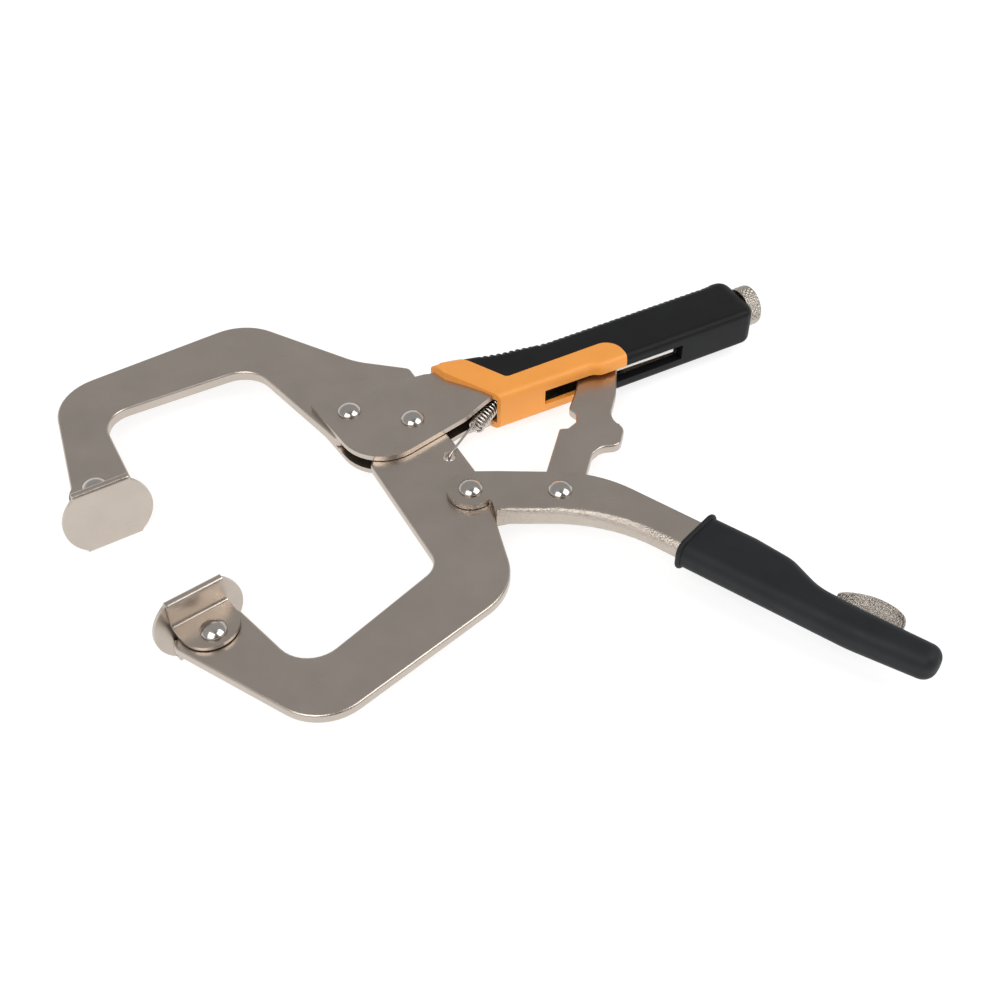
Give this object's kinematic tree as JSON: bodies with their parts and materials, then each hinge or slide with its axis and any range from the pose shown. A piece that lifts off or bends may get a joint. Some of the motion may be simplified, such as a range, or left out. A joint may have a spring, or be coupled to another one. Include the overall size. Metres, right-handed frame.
{
  "type": "locking c-clamp pliers",
  "caption": "Locking C-clamp pliers with swivel pads, ribbed black and orange fixed grip, knurled adjusting knob, rubber-sleeved moving handle and release lever.",
  "frame": {"origin": "centre of the footprint, on the plane the tool lies on (z = 0 is the lower folded edge of the swivel pads)", "axes": "+X along the fixed handle from the jaws to the adjusting knob, +Y away from the moving handle, +Z along the pivots"},
  "size_m": [0.2743, 0.2572, 0.027],
  "materials": {
    "plate_steel": "satin nickel plate with rounded bright edges",
    "handle_steel": "satin nickel plate, grainy over the bends",
    "rivet_steel": "polished nickel plate",
    "spring_steel": "bright drawn wire",
    "knob_steel": "knurled, nickel plated",
    "grip_rubber": "matte moulded rubber, fine ribs on the back",
    "collar_plastic": "satin moulded plastic",
    "sleeve_rubber": "dipped rubber sleeve with a rolled lip"
  },
  "bodies": {
    "body": {"body_channel": "handle_steel", "fixed_jaw": "plate_steel", "fixed_jaw_rivet": "rivet_steel", "jaw_pivot_rivet": "rivet_steel", "fixed_pad_rivet": "rivet_steel", "screw_nut": "knob_steel", "handle_grip": "grip_rubber", "handle_collar": "collar_plastic", "jaw_spring": "spring_steel", "spring_anchor": "rivet_steel"},
    "jaw": {"moving_jaw": "plate_steel", "moving_pad_rivet": "rivet_steel"},
    "lever": {"lever_channel": "handle_steel", "lever_rivet": "rivet_steel", "toggle_rivet": "rivet_steel", "lever_sleeve": "sleeve_rubber", "release_pin": "rivet_steel"},
    "link": {"toggle_link": "plate_steel"},
    "release": {"release_lever": "handle_steel"},
    "pad_fixed": {"fixed_pad": "plate_steel"},
    "pad_moving": {"moving_pad": "plate_steel"},
    "screw": {"adjusting_screw": "knob_steel"},
    "knob": {"screw_knob": "knob_steel"}
  },
  "joints": [
    {"name": "jaw_pivot", "type": "hinge", "parent": "body", "child": "jaw", "pos_m": [-0.01221, 0.04538, 0.0135], "axis": [0, 0, 1], "range_deg": [-26, 0], "deforming": ["jaw_spring"]},
    {"name": "lever_pivot", "type": "hinge", "parent": "jaw", "child": "lever", "pos_m": [-0.01021, 0.00438, 0.0135], "axis": [0, 0, 1], "range_deg": [0, 51.6]},
    {"name": "link_pivot", "type": "hinge", "parent": "lever", "child": "link", "pos_m": [0.01629, -0.01062, 0.0135], "axis": [0, 0, 1], "range_deg": [-41, 0]},
    {"name": "release_pivot", "type": "hinge", "parent": "lever", "child": "release", "pos_m": [0.05365, -0.06365, 0.0135], "axis": [0, 0, 1], "range_deg": [-4, 0]},
    {"name": "fixed_pad_swivel", "type": "hinge", "parent": "body", "child": "pad_fixed", "pos_m": [-0.12221, 0.06618, 0.0135], "axis": [0, 0, 1], "range_deg": [-20, 20]},
    {"name": "moving_pad_swivel", "type": "hinge", "parent": "jaw", "child": "pad_moving", "pos_m": [-0.10821, -0.01232, 0.0135], "axis": [0, 0, 1], "range_deg": [-20, 20]},
    {"name": "screw_slide", "type": "slide", "parent": "body", "child": "screw", "axis": [1, 0, 0], "range_m": [0, 0.0201]},
    {"name": "knob_turn", "type": "hinge", "parent": "screw", "child": "knob", "pos_m": [0.13349, 0.04688, 0.0135], "axis": [1, 0, 0], "range_deg": [0, 5760]}
  ],
  "couplings": [
    {"joint": "lever_pivot", "follows": "jaw_pivot", "ratio": -1.9815},
    {"joint": "link_pivot", "follows": "jaw_pivot", "ratio": 1.5752},
    {"joint": "screw_slide", "follows": "knob_turn", "m_per_rad": 0.00019894}
  ]
}
